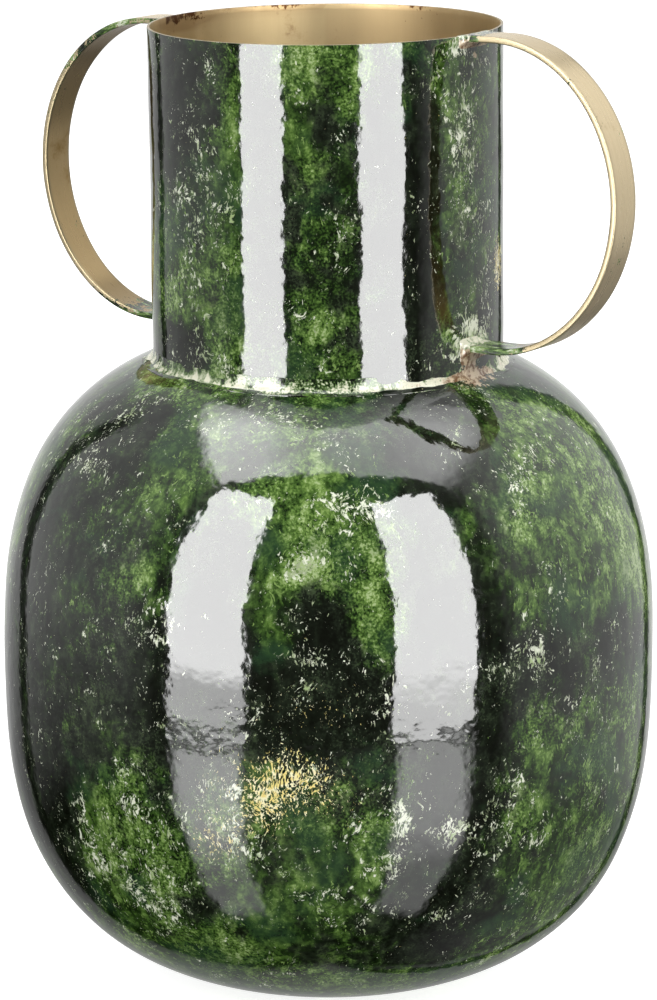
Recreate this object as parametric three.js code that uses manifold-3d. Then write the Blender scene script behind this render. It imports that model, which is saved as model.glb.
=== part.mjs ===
// A two-handled metal vase. Two spun sheet-metal shells make the round body, a rolled tube makes the
// neck, two bent flat strips make the handles, and weld beads join them.
// Millimetres, +Z up. The origin is the centre of the standing ring; the handles lie along +X and -X.

import * as THREE from "three";
import { mergeVertices } from "three/addons/utils/BufferGeometryUtils.js";
import Module from "manifold-3d";

// Overall form
const OVERALL_HEIGHT = 350;
const BODY_DIAMETER = 240;
const BELLY_HEIGHT = 120; // widest line of the body above the table
const BASE_DIAMETER = 102; // where the bowl's curve meets the table
const NECK_DIAMETER = 128; // outside of the neck tube
const NECK_HEIGHT = 121; // neck that shows above the shoulder
const SHOULDER_FULLNESS = 2.66; // 2 is a plain ellipse, more is squarer
const BOWL_FULLNESS = 2.8;

// Sheet metal and the clearance between pieces that are fitted together
const SHEET = 1;
const FIT = 0.3;

// Details of the shells
const LAP = 6; // height of the bowl's set-in edge inside the shoulder
const JOGGLE = 3; // height over which the bowl's wall steps in to that edge
const SEAM_DEPTH = 0.6; // weld groove at the widest line, measured in from the outside
const STAND_WIDTH = 11; // flat ring that the vase stands on
const PUSH_UP = 2.5; // rise of the base inside the ring
const PUSH_UP_SLOPE = 6; // width of the step from the ring to the raised middle
const NECK_TAIL = 3; // neck that reaches through the shoulder
const RIM_ROUND = 0.25; // eased edges of the rim

// Handles
const STRIP_WIDTH = 14;
const STRIP_THICKNESS = 2.2;
const STRIP_EDGE = 0.4; // eased edges of the strip
const HANDLE_REACH = 61.5; // from the neck wall to the outside of the bend
const HANDLE_STRAIGHT = 11; // straight run of each end before the bend
const RIM_TO_STRIP = 0.3; // strip below the rim

// Welds
const NECK_WELD_LEG = 3.6;
const HANDLE_WELD_LEG = 3;
const WELD_LIP = 0.5; // thickness of a bead where it runs out on the strip
const WELD_SPACE = 1.4; // bare neck between the two welds below a handle

// Fineness of the curved surfaces
const TURN_STEPS = 64;
const SHELL_STEPS = 10;
const BEND_STEPS = 28;
const WELD_STEPS = 5;
const BEAD_SIDES = 28;
const MERGE_DISTANCE = 1e-4;

// Places that several pieces share
const bodyRadius = BODY_DIAMETER / 2;
const neckRadius = NECK_DIAMETER / 2;
const baseRadius = BASE_DIAMETER / 2;
const jointHeight = OVERALL_HEIGHT - NECK_HEIGHT;
const stripTop = OVERALL_HEIGHT - RIM_TO_STRIP;
const stripFoot = jointHeight + NECK_WELD_LEG + WELD_SPACE + HANDLE_WELD_LEG;
const upperEndHeight = stripTop - STRIP_THICKNESS / 2;
const lowerEndHeight = stripFoot + STRIP_THICKNESS / 2;
const seatRadius = neckRadius + FIT; // face of whatever is welded on around the neck

// Rise of a full, squarish curve at a given share of its radius
function fullCurve(share, fullness) {
  return (1 - share ** fullness) ** (1 / fullness);
}

// Height where each curve would close on the axis, set so that the shoulder meets the neck and the
// bowl meets the standing ring
const shoulderRise = (jointHeight - BELLY_HEIGHT) / fullCurve(neckRadius / bodyRadius, SHOULDER_FULLNESS);
const bowlDrop = BELLY_HEIGHT / fullCurve(baseRadius / bodyRadius, BOWL_FULLNESS);

function shoulderHeight(radius, wall) {
  const share = radius / (bodyRadius - wall);
  return BELLY_HEIGHT + (shoulderRise - wall) * fullCurve(share, SHOULDER_FULLNESS);
}

function bowlHeight(radius, wall) {
  const share = radius / (bodyRadius - wall);
  return BELLY_HEIGHT - (bowlDrop - wall) * fullCurve(share, BOWL_FULLNESS);
}

// Radii from the widest line in to a smaller one, closer together where the wall turns upright
function shellRadii(widest, smallest) {
  const radii = [];
  const last = Math.acos(smallest / widest);
  for (let step = 1; step <= SHELL_STEPS; step++) {
    radii.push(widest * Math.cos((last * step) / SHELL_STEPS));
  }
  return radii;
}

// Geometry helpers
function revolve(profile) {
  const points = profile.map(([radius, height]) => new THREE.Vector2(radius, height));
  return new THREE.LatheGeometry(points, TURN_STEPS).rotateX(Math.PI / 2);
}

function closed(profile) {
  return [...profile, profile[0]];
}

function withoutLooks(geometry) {
  const bare = geometry.clone();
  bare.deleteAttribute("normal");
  bare.deleteAttribute("uv");
  return mergeVertices(bare, MERGE_DISTANCE);
}

const wasm = await Module();
wasm.setup();

function toSolid(geometry) {
  const merged = withoutLooks(geometry);
  const vertProperties = merged.attributes.position.array;
  const triVerts = merged.index.array;
  return new wasm.Manifold(new wasm.Mesh({ numProp: 3, vertProperties, triVerts }));
}

function toGeometry(solid) {
  const mesh = solid.getMesh();
  const geometry = new THREE.BufferGeometry();
  geometry.setAttribute("position", new THREE.BufferAttribute(mesh.vertProperties, 3));
  geometry.setIndex(new THREE.BufferAttribute(mesh.triVerts, 1));
  geometry.computeVertexNormals();
  return geometry;
}

// Skin over a row of rings that have the same number of points, closed at both ends
function loft(rings) {
  const sides = rings[0].length;
  const positions = rings.flat().flatMap((point) => point.toArray());
  const faces = [];
  for (let ring = 0; ring < rings.length - 1; ring++) {
    for (let side = 0; side < sides; side++) {
      const here = ring * sides + side;
      const next = ring * sides + ((side + 1) % sides);
      faces.push(here, next, next + sides, here, next + sides, here + sides);
    }
  }
  const lastRing = (rings.length - 1) * sides;
  for (let side = 1; side < sides - 1; side++) {
    faces.push(0, side + 1, side);
    faces.push(lastRing, lastRing + side, lastRing + side + 1);
  }
  const geometry = new THREE.BufferGeometry();
  geometry.setAttribute("position", new THREE.Float32BufferAttribute(positions, 3));
  geometry.setIndex(faces);
  return geometry;
}

// Lower shell: flat standing ring, pushed-up middle, full round wall, and a set-in edge at the top
// that slips inside the shoulder
function lowerBowlShape() {
  const outside = shellRadii(bodyRadius, baseRadius).reverse();
  const insideFoot = baseRadius - SHEET;
  const inside = shellRadii(bodyRadius - SHEET, insideFoot).slice(0, -1);
  const standInner = baseRadius - STAND_WIDTH;
  const raised = standInner - PUSH_UP_SLOPE;
  const spigotOuter = bodyRadius - SHEET - FIT;
  const spigotInner = spigotOuter - SHEET;
  return revolve([
    [0, PUSH_UP],
    [raised, PUSH_UP],
    [standInner, 0],
    [baseRadius, 0],
    ...outside.slice(1).map((radius) => [radius, bowlHeight(radius, 0)]),
    [bodyRadius, BELLY_HEIGHT - SEAM_DEPTH],
    [bodyRadius - SEAM_DEPTH, BELLY_HEIGHT],
    [spigotOuter, BELLY_HEIGHT],
    [spigotOuter, BELLY_HEIGHT + LAP],
    [spigotInner, BELLY_HEIGHT + LAP],
    [spigotInner, BELLY_HEIGHT - SHEET],
    [bodyRadius - SHEET, BELLY_HEIGHT - SHEET - JOGGLE],
    ...inside
      .filter((radius) => bowlHeight(radius, SHEET) < BELLY_HEIGHT - SHEET - 2 * JOGGLE)
      .map((radius) => [radius, bowlHeight(radius, SHEET)]),
    [insideFoot, SHEET],
    [standInner, SHEET],
    [raised, PUSH_UP + SHEET],
    [0, PUSH_UP + SHEET],
  ]);
}

// Upper shell: sits on the bowl's step, closes over to the opening that the neck passes through
function upperShoulderShape() {
  const outside = shellRadii(bodyRadius, seatRadius);
  const inside = shellRadii(bodyRadius - SHEET, seatRadius).reverse();
  const insideEdge = bodyRadius - SHEET;
  return revolve(
    closed([
      [insideEdge, BELLY_HEIGHT],
      [bodyRadius - SEAM_DEPTH, BELLY_HEIGHT],
      [bodyRadius, BELLY_HEIGHT + SEAM_DEPTH],
      ...outside.map((radius) => [radius, shoulderHeight(radius, 0)]),
      ...inside.map((radius) => [radius, shoulderHeight(radius, SHEET)]),
    ]),
  );
}

// Weld at the widest line: fills the groove that the two bevelled edges leave, flush outside
function bellyWeldShape() {
  return revolve(
    closed([
      [bodyRadius - SEAM_DEPTH, BELLY_HEIGHT],
      [bodyRadius, BELLY_HEIGHT - SEAM_DEPTH],
      [bodyRadius, BELLY_HEIGHT + SEAM_DEPTH],
    ]),
  );
}

// Neck: a rolled tube that reaches a little way through the shoulder, with an eased rim
function neckTubeShape() {
  const inner = neckRadius - SHEET;
  const foot = shoulderHeight(seatRadius, SHEET) - NECK_TAIL;
  return revolve(
    closed([
      [inner, foot],
      [neckRadius, foot],
      [neckRadius, OVERALL_HEIGHT - RIM_ROUND],
      [neckRadius - RIM_ROUND, OVERALL_HEIGHT],
      [inner + RIM_ROUND, OVERALL_HEIGHT],
      [inner, OVERALL_HEIGHT - RIM_ROUND],
    ]),
  );
}

// Hollow fillet between the neck wall and the shoulder
function neckWeldShape() {
  const toe = seatRadius + NECK_WELD_LEG;
  const seatAt = (radius) => shoulderHeight(radius, 0) + FIT;
  const root = new THREE.Vector2(seatRadius, seatAt(seatRadius));
  const top = new THREE.Vector2(seatRadius, jointHeight + NECK_WELD_LEG);
  const throat = new THREE.Vector2(root.x + NECK_WELD_LEG / 4, root.y + NECK_WELD_LEG / 4);
  const face = new THREE.QuadraticBezierCurve(new THREE.Vector2(toe, seatAt(toe)), throat, top);
  const seat = [];
  for (let step = 0; step < WELD_STEPS; step++) {
    const radius = THREE.MathUtils.lerp(seatRadius, toe, step / WELD_STEPS);
    seat.push([radius, seatAt(radius)]);
  }
  return revolve(closed([...seat, ...face.getPoints(WELD_STEPS).map((point) => [point.x, point.y])]));
}

// Room that the neck takes up, with the fitting clearance, for coping what butts on to it
function neckRoom() {
  const cylinder = new THREE.CylinderGeometry(seatRadius, seatRadius, OVERALL_HEIGHT, TURN_STEPS);
  return toSolid(cylinder.rotateX(Math.PI / 2).translate(0, 0, OVERALL_HEIGHT));
}

// Side view of a handle: two straight runs joined by half an ellipse, in the XZ plane. Growth is added
// all round, and the ends start inside the neck so that they can be coped to it.
function handleOutline(growth) {
  const half = STRIP_THICKNESS / 2 + growth;
  const middle = (upperEndHeight + lowerEndHeight) / 2;
  const rise = (upperEndHeight - lowerEndHeight) / 2;
  const bendStart = neckRadius + HANDLE_STRAIGHT;
  const bulge = HANDLE_REACH - HANDLE_STRAIGHT - STRIP_THICKNESS / 2;
  const start = neckRadius - STRIP_THICKNESS;
  const quarter = Math.PI / 2;
  const shape = new THREE.Shape();
  shape.moveTo(start, middle - rise - half);
  shape.lineTo(bendStart, middle - rise - half);
  shape.absellipse(bendStart, middle, bulge + half, rise + half, -quarter, quarter, false);
  shape.lineTo(start, middle + rise + half);
  shape.lineTo(start, middle + rise - half);
  shape.absellipse(bendStart, middle, bulge - half, rise - half, quarter, -quarter, true);
  shape.lineTo(start, middle - rise + half);
  shape.closePath();
  return shape;
}

// Bent strip of the given outline growth, centred on Y = 0
function bentStrip(growth, eased) {
  const depth = STRIP_WIDTH + 2 * growth - 2 * eased;
  const geometry = new THREE.ExtrudeGeometry(handleOutline(growth - eased), {
    depth,
    curveSegments: BEND_STEPS,
    bevelEnabled: eased > 0,
    bevelThickness: eased,
    bevelSize: eased,
    bevelSegments: 1,
  });
  return toSolid(geometry.translate(0, 0, -depth / 2).rotateX(Math.PI / 2));
}

function handleShape() {
  return toGeometry(bentStrip(0, STRIP_EDGE).subtract(neckRoom()));
}

// Rounded outline of a bead around the strip, standing off the neck by the given distance
function beadRing(distance, spread) {
  const squareness = 1 / 3;
  const halfWidth = STRIP_WIDTH / 2 + FIT + spread;
  const halfThickness = STRIP_THICKNESS / 2 + FIT + spread;
  const ring = [];
  for (let side = 0; side < BEAD_SIDES; side++) {
    const turn = (2 * Math.PI * side) / BEAD_SIDES;
    const across = Math.sign(Math.cos(turn)) * Math.abs(Math.cos(turn)) ** squareness;
    const up = Math.sign(Math.sin(turn)) * Math.abs(Math.sin(turn)) ** squareness;
    ring.push(new THREE.Vector3(neckRadius + distance, halfWidth * across, halfThickness * up));
  }
  return ring;
}

// Weld bead around one end of the strip: a hollow-sided collar, coped to the neck and the strip.
// The upper one is ground off level with the strip's top face.
function handleWeldShape(endHeight) {
  const spread = HANDLE_WELD_LEG - FIT;
  const rings = [beadRing(-STRIP_THICKNESS, spread)];
  for (let step = 0; step <= WELD_STEPS; step++) {
    const share = step / WELD_STEPS;
    const hollow = (1 - share) ** 2;
    rings.push(beadRing(HANDLE_WELD_LEG * share, THREE.MathUtils.lerp(WELD_LIP, spread, hollow)));
  }
  const collar = toSolid(loft(rings).translate(0, 0, endHeight));
  const ground = new THREE.BoxGeometry(BODY_DIAMETER, BODY_DIAMETER, BODY_DIAMETER);
  const aboveStrip = toSolid(ground.translate(0, 0, stripTop + BODY_DIAMETER / 2));
  return toGeometry(collar.subtract(neckRoom()).subtract(bentStrip(FIT, 0)).subtract(aboveStrip));
}

// Finishes
const enamel = { color: 0x3c4c2a, roughness: 0.12, metalness: 0.1 };
const weldEnamel = { color: 0x8f9377, roughness: 0.25, metalness: 0.1 };
const brass = { color: 0xb9995a, roughness: 0.32, metalness: 0.9 };

function piece(name, geometry, finish) {
  const mesh = new THREE.Mesh(geometry, new THREE.MeshStandardMaterial(finish));
  mesh.name = name;
  return mesh;
}

const vase = new THREE.Group();
vase.add(piece("lower_bowl", lowerBowlShape(), enamel));
vase.add(piece("upper_shoulder", upperShoulderShape(), enamel));
vase.add(piece("neck_tube", neckTubeShape(), enamel));
vase.add(piece("belly_weld", bellyWeldShape(), enamel));
vase.add(piece("neck_weld", neckWeldShape(), weldEnamel));

// One handle with its two beads on each side of the neck
const sides = [
  { side: "right", turn: 0 },
  { side: "left", turn: Math.PI },
];
for (const { side, turn } of sides) {
  const handle = new THREE.Group();
  handle.rotation.z = turn;
  handle.add(piece(`${side}_handle`, handleShape(), brass));
  handle.add(piece(`${side}_handle_upper_weld`, handleWeldShape(upperEndHeight), weldEnamel));
  handle.add(piece(`${side}_handle_lower_weld`, handleWeldShape(lowerEndHeight), weldEnamel));
  vase.add(handle);
}

export default vase;
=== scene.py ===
"""Looks of an enamelled sheet-metal vase with two brass strap handles, in metres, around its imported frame.

The body is two spun shells and a ground seam, the neck is a rolled tube, the handles are bent strip, and
every other joint is a hand-laid bead. Each piece is drawn as a line or a pad, pulled and turned to shape, and
then finished.
"""
import math

import bpy
import numpy as np
from mathutils import Matrix, Vector, noise


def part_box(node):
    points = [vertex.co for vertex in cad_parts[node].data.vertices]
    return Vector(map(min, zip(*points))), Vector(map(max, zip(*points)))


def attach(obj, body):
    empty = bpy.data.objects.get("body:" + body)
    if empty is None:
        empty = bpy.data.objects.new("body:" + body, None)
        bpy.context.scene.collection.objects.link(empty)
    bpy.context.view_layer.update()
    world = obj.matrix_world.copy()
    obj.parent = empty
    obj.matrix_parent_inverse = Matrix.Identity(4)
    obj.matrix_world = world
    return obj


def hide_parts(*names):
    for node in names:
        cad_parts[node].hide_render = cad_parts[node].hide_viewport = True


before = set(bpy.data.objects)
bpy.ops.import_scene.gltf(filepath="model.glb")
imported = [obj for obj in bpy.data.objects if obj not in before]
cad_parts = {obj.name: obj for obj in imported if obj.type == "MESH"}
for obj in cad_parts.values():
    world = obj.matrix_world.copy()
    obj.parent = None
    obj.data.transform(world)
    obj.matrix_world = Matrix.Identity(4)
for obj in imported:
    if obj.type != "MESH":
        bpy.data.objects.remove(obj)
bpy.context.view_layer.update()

# Sizes taken from the frame
SEAM_LOW, SEAM_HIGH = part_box("belly_weld")
SHOULDER_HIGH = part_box("upper_shoulder")[1]
NECK_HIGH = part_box("neck_tube")[1]
COLLAR_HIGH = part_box("neck_weld")[1]
STRAP_LOW, STRAP_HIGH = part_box("right_handle")
BELLY_HEIGHT = (SEAM_LOW.z + SEAM_HIGH.z) / 2
BODY_RADIUS = SEAM_HIGH.x
NECK_RADIUS = NECK_HIGH.x
RIM_HEIGHT = NECK_HIGH.z
JOINT_HEIGHT = SHOULDER_HIGH.z

# Sheet, base and body form
SHEET = 0.001
SHOULDER_FULLNESS = 2.66
BOWL_FULLNESS = 2.8
RING_OUTSIDE = 0.051
RING_INSIDE = 0.040
PUSH_UP = 0.0025
PUSH_UP_RADIUS = 0.034
LAP_HEIGHT = 0.006
LAP_SET_IN = 0.0013
JOGGLE_HEIGHT = 0.0012
NECK_TAIL = 0.003
RIM_ROUND = 0.00025

# Handle strip and beads
STRIP_THICKNESS = 0.0022
STRIP_EDGE = 0.0005
STRIP_STRAIGHT = 0.011
STRIP_ROOT = 0.0007
STRIP_TOP = STRAP_HIGH.z - STRIP_THICKNESS / 2
STRIP_FOOT = STRAP_LOW.z + STRIP_THICKNESS / 2
STRIP_WIDTH = STRAP_HIGH.y - STRAP_LOW.y
STRAP_MIDDLE = (STRAP_LOW.z + STRAP_HIGH.z) / 2
BEAD_LEG = 0.003
BEAD_ROOT = 0.00095
BEAD_RUN = 0.0026
BEAD_STEPS = (0.0, 0.2, 0.45, 0.75, 1.0)

# Welded by eye: the neck leans, and the right handle sits a little high and the left one low
LEAN = math.radians(0.6)
HANDLE_LIFT = {1: 0.0006, -1: -0.0013}

# Hand work: size and height of the waves and lumps, and how they ease off at the seam, base and rim
SHEET_WAVES = (0.05, 0.0006)
NECK_WAVES = (0.04, 0.0006)
STRIP_WAVES = (0.03, 0.0003)
NECK_BEAD_LUMPS = (0.008, 0.0013)
HANDLE_BEAD_LUMPS = (0.005, 0.0008)
SEAM_EASE = (0.002, 0.02)
BASE_EASE = (0.004, 0.03)
RIM_EASE = 0.02

# Enamel caught on the handle strips: where it stops being solid, and where it ends
UPPER_CATCH = (0.002, 0.012)
LOWER_CATCH = (0.014, 0.038)
UNDERSIDE_CATCH = (0.026, 0.050)
EDGE_CATCH = (0.0006, 0.0016)
BOW_TOP_CATCH = (-0.032, -0.012)
# Painted shade on the strips: where their eased edges darken, and how dark the inside of each bow is, by side
EDGE_SHADE = (-0.0012, -0.0002)
INSIDE_SHADE = {1: 1.35, -1: 1.0}

# Fineness of the meshes
SHELL_STEP = 0.0024
SHELL_TURNS = 224
STRIP_STEP = 0.0016
STRIP_ACROSS = 8
CURVE_POINTS = 2000
BOW_POINTS = 400
SHARP_EDGE = math.radians(50)
SHELL_SMOOTH = 30
EASED_SMOOTH = 40
BEAD_SMOOTH = 50

# Viewing angle of the photograph, and where its camera stands
VIEW_ANGLE = math.radians(34.5)
VIEW_PITCH = math.radians(13.08)
VIEW_DISTANCE = 1.52
VIEW_HEIGHT = 0.5275
LENS = 152.5
SENSOR = 36.0
FRONT = Vector((math.sin(VIEW_ANGLE), -math.cos(VIEW_ANGLE), 0.0))
RIGHT = Vector((math.cos(VIEW_ANGLE), math.sin(VIEW_ANGLE), 0.0))

# Sponged paint on the body and neck: angle from the front in degrees, height in millimetres, half
# width in degrees, half height in millimetres, and strength. On the ground coat, green is above zero and
# black below.
MOSS_DABS = (
    (-51, 183, 13, 28, -0.55), (-51, 215, 8, 8, -0.6), (-43, 130, 20, 22, -0.55),
    (-42, 112, 17, 10, -0.8), (-33, 134, 5, 11, -1.0), (-59, 68, 9, 31, -1.0),
    (-66, 140, 9, 55, -1.0), (-1, 131, 13, 25, -1.1), (-1, 162, 4, 8, -0.9),
    (30, 176, 4, 26, -1.0), (31, 205, 7, 7, -0.8), (43, 134, 26, 13, -0.9),
    (30, 97, 3, 20, -1.0), (21, 54, 11, 22, -1.0), (29, 220, 11, 7, -0.9),
    (1, 29, 13, 5, -0.3), (-33, 201, 6, 20, 0.5), (-31, 205, 3, 8, 1.2),
    (-30, 162, 3, 5, 0.6), (-18, 216, 15, 10, 0.5), (-1, 186, 11, 16, 0.9),
    (-4, 190, 4, 9, 0.9), (9, 156, 4, 14, 1.1), (-10, 156, 4, 11, 0.8),
    (51, 188, 20, 30, 0.6), (-37, 73, 11, 26, 0.35), (-41, 62, 8, 14, 0.5),
    (1, 60, 11, 20, 0.1), (5, 71, 5, 14, 0.5), (-6, 97, 8, 12, 0.4),
    (4, 98, 5, 12, 0.2), (45, 81, 14, 42, 0.28), (35, 85, 4, 25, 0.45),
    # The dark dabs about 20 degrees either side of the front, 6 to 7 degrees wide, are colour set by the
    # lighting, not the vase's pattern: they darken the paint under the two strip lights' reflections so that
    # these read plain white
    (-18, 36, 20, 14, 0.0), (43, 31, 11, 9, 0.6), (-20, 160, 7, 40, -0.9),
    (18, 160, 7, 40, -0.9), (20, 88, 6, 24, -0.9), (-21, 92, 6, 20, -0.2),
    (-52, 326, 12, 17, -1.0), (-56, 238, 11, 8, -1.0), (31, 288, 6, 60, -1.2),
    (2, 310, 6, 30, -0.3), (-36, 287, 9, 54, 0.4), (-31, 302, 3, 21, 0.9),
    (-8, 343, 5, 6, 0.9), (-9, 317, 4, 7, 0.7), (-3, 243, 10, 12, 0.2),
    (51, 292, 13, 56, 0.05), (-3, 275, 9, 18, 0.0), (-21, 292, 6, 60, -0.8),
    (18, 292, 6, 60, -0.8), (-36, 27, 16, 13, 0.9), (-22, 18, 18, 10, 0.9),
    (-8, 10, 34, 7, 0.6), (56, 42, 14, 26, 0.4), (45, 172, 10, 14, 0.4),
    (-38, 160, 7, 10, 0.2), (-54, 160, 14, 30, -0.2), (-56, 130, 12, 20, -0.2),
    (68, 206, 12, 12, 0.5), (2, 16, 30, 9, 0.5), (40, 14, 24, 9, 0.4),
    (60, 85, 12, 32, 0.35), (-58, 227, 18, 4, 1.0),
)
CREAM_DABS = (
    (4, 197, 7, 4, 0.65), (9, 190, 3, 8, 0.45), (3, 174, 4, 3, 0.8),
    (-57, 200, 5, 4, 0.9), (-58, 208, 10, 12, 0.35), (-55, 216, 4, 3, 0.7),
    (-14, 222, 7, 3, 0.5), (39, 198, 5, 6, 0.8), (45, 206, 6, 5, 0.7),
    (-2, 146, 4, 3, 0.8), (-13, 129, 3, 6, 0.45), (10, 131, 3, 5, 0.5),
    (-1, 132, 12, 20, 0.32), (32, 139, 7, 6, 0.6), (41, 145, 7, 6, 0.4),
    (-30, 157, 3, 10, 0.55), (-37, 96, 3, 8, 0.7), (-34, 54, 9, 9, 0.6),
    (-46, 72, 4, 14, 0.55), (-17, 96, 4, 13, 0.15), (-20, 86, 7, 18, 0.5),
    (11, 90, 3, 10, 0.4), (11, 69, 3, 6, 0.65), (23, 82, 5, 4, 0.8),
    (22, 72, 6, 10, 0.35), (18, 83, 6, 6, 0.4), (29, 70, 3, 14, 0.5),
    (25, 49, 5, 4, 0.7), (33, 98, 3, 9, 0.4), (36, 80, 4, 14, 0.4),
    (-45, 293, 8, 21, 0.6), (-30, 294, 3, 6, 0.9), (7, 317, 4, 8, 0.5),
    (3, 284, 3, 10, 0.7), (48, 322, 8, 12, 0.6), (50, 300, 5, 20, 0.5),
    (55, 245, 8, 4, 1.5), (45, 239, 4, 4, 1.0), (46, 346, 4, 3, 1.2),
    (1, 62, 12, 24, 0.25), (-37, 66, 11, 22, 0.42), (-40, 290, 14, 55, 0.3),
    (51, 290, 12, 55, 0.3), (-40, 128, 20, 22, 0.2), (43, 136, 24, 12, 0.15),
    (-50, 236, 14, 4, 0.8), (-15, 234, 14, 3, 0.6), (22, 234, 10, 3, 0.7),
    # The first two dabs on the next line are painted highlights: glints on two raised drops in the enamel
    (-4, 179, 3, 2.5, 1.2), (-6, 174, 2, 2.5, 1.2), (-22, 221, 9, 5, 0.3),
    # The negative dabs here are colour set by the lighting: they clear the cream from under the two strip
    # lights' reflections so that these read plain white
    (-21, 292, 6, 60, -0.4), (18, 292, 6, 60, -0.4), (-20, 165, 6, 34, -0.35),
    (18, 168, 6, 34, -0.4),
)
GILT_DABS = (
    (-7, 101, 6, 13, 0.6), (-5, 105, 5, 7, 0.25), (-11, 89, 3, 9, 0.35),
    (-20, 76, 4, 7, 0.5), (-17, 95, 6, 16, 0.4), (-1, 129, 7, 8, 0.35),
    (3, 96, 5, 12, 0.25), (74, 265, 5, 9, 1.0), (-84, 305, 5, 13, 0.6),
)
# Heat tint and bare scale by the right handle's beads, and brown stains inside the rim. The last two rust
# dabs, broad and weak, are painted shade that darkens the lining's far wall on the left and right.
TAN_DABS = (
    (57, 344, 6, 4, 0.9), (51, 236, 4, 6, 1.2), (53, 229, 10, 3, 1.1),
)
RUST_AND_SHADE_DABS = (
    (-123, 349, 11, 3, 1.3), (-166, 350, 13, 1.4, 0.9), (152, 350, 10, 1.2, 0.6),
    (150, 336, 28, 30, 0.2), (-150, 349.5, 40, 3, 0.12),
)
# Where the pale crest of the neck's bead, partly painted highlight, is made narrower, and with a negative
# strength wider
THIN_DABS = (
    (2, 232, 14, 12, 0.25), (-68, 232, 6, 12, 0.2), (52, 232, 9, 12, 0.3),
    (30, 232, 8, 12, -0.35),
)
# How dabs fade and add up, and the patches where there are none
DAB_FADE = 0.55
DAB_EDGE = 1.5
FULL_DAB = 1.3
PATCH_SIZE = 0.07
PATCH_STRENGTH = 1.7

# Flecks and gloss
SPRIG_SIZE = 0.0014
FINE_SIZE = 0.0009
BOLD_SIZE = 0.0018
GILT_SIZE = 0.0008
NICK_SIZE = 0.004
WASH_STRENGTH = 0.6
ENAMEL_IOR = 1.6


def srgb(red, green, blue):
    """Linear colour of a colour that is named by its display values, 0 to 255."""
    display = np.array((red, green, blue)) / 255
    linear = np.where(display <= 0.04045, display / 12.92, ((display + 0.055) / 1.055) ** 2.4)
    return (*linear.tolist(), 1.0)


BLACK_GROUND = srgb(10, 13, 6)
DEEP_GROUND = srgb(18, 23, 14)
DARK_GROUND = srgb(28, 35, 24)
GREY_GROUND = srgb(42, 51, 36)
PALE_GROUND = srgb(64, 78, 52)
DEEP_GREEN = srgb(17, 31, 8)
DARK_GREEN = srgb(30, 49, 17)
MOSS_GREEN = srgb(48, 72, 28)
LEAF_GREEN = srgb(70, 98, 42)
BRIGHT_GREEN = srgb(96, 126, 58)
PALE_GREEN = srgb(128, 156, 86)
MIST_GREEN = srgb(166, 186, 132)
SEA_GREEN = srgb(42, 68, 46)
CREAM = srgb(232, 236, 216)
DIM_CREAM = srgb(156, 168, 132)
BEAD_CREAM = srgb(222, 221, 198)
GILT = srgb(255, 249, 208)
DEEP_GILT = srgb(246, 228, 146)
TAN_SCALE = srgb(206, 187, 158)
RUST_SCALE = srgb(120, 88, 60)
RUST = srgb(70, 42, 18)
BRASS = srgb(202, 185, 150)
BRASS_EDGE_SHADE = srgb(140, 130, 106)
BRASS_DARK = srgb(134, 108, 60)
LINING = srgb(168, 150, 114)
LINING_DARK = srgb(116, 88, 56)
RIM_METAL = srgb(158, 146, 120)


# Small helpers for modelling

def even_steps(points, step):
    """The same open line with its points spread evenly, about one step apart."""
    line = np.array(points, float)
    along = np.concatenate(([0.0], np.cumsum(np.linalg.norm(np.diff(line, axis=0), axis=1))))
    count = max(2, round(along[-1] / step) + 1)
    places = np.linspace(0.0, along[-1], count)
    return np.stack([np.interp(places, along, line[:, axis]) for axis in range(line.shape[1])], axis=1)


def pick(piece):
    """Selects one piece alone and makes it the active one."""
    bpy.ops.object.select_all(action="DESELECT")
    piece.select_set(True)
    bpy.context.view_layer.objects.active = piece


def add_plane(name, place, turn=(0, 0, 0), size=(1, 1)):
    """A flat rectangle to start a piece from, with its place, turn and size kept in its mesh."""
    bpy.ops.object.select_all(action="DESELECT")
    bpy.ops.mesh.primitive_plane_add(size=1, location=place, rotation=turn)
    piece = bpy.context.object
    piece.name = piece.data.name = name
    piece.scale = (*size, 1)
    bpy.ops.object.transform_apply(location=True, rotation=True, scale=True)
    return piece


def edit_all():
    """Opens the active piece for editing with everything selected."""
    bpy.ops.object.mode_set(mode="EDIT")
    bpy.ops.mesh.select_all(action="SELECT")


def draw_line(name, points):
    """A chain of edges through the points, drawn by pulling one corner along and left open for editing."""
    piece = add_plane(name, points[0], size=(SHEET, SHEET))
    edit_all()
    bpy.ops.mesh.merge(type="CENTER")
    for pull in np.diff(np.array(points, float), axis=0):
        bpy.ops.mesh.extrude_region_move(TRANSFORM_OT_translate={"value": pull})
    return piece


def spin_line(name, profile):
    """A round shell, turned from a profile of radius and height."""
    piece = draw_line(name, [(radius, 0.0, height) for radius, height in profile])
    bpy.ops.mesh.select_all(action="SELECT")
    bpy.ops.mesh.spin(steps=SHELL_TURNS, angle=2 * math.pi, center=(0, 0, 0), axis=(0, 0, 1))
    face_outwards()
    return piece


def face_outwards():
    """Closes seams and poles and turns the faces outwards, then leaves edit mode."""
    bpy.ops.mesh.select_all(action="SELECT")
    bpy.ops.mesh.remove_doubles(threshold=SHEET / 50)
    bpy.ops.mesh.normals_make_consistent(inside=False)
    bpy.ops.object.mode_set(mode="OBJECT")


def shape(piece, kind, **settings):
    """Adds one modifier with its settings and applies it."""
    modifier = piece.modifiers.new(kind.title(), kind)
    for name, value in settings.items():
        setattr(modifier, name, value)
    bpy.context.view_layer.objects.active = piece
    bpy.ops.object.modifier_apply(modifier=modifier.name)


def ease_edges(piece, width, segments):
    shape(piece, "BEVEL", width=width, segments=segments, limit_method="ANGLE", angle_limit=SHARP_EDGE)


def smooth(piece, degrees):
    pick(piece)
    bpy.ops.object.shade_smooth_by_angle(angle=math.radians(degrees))


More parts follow.
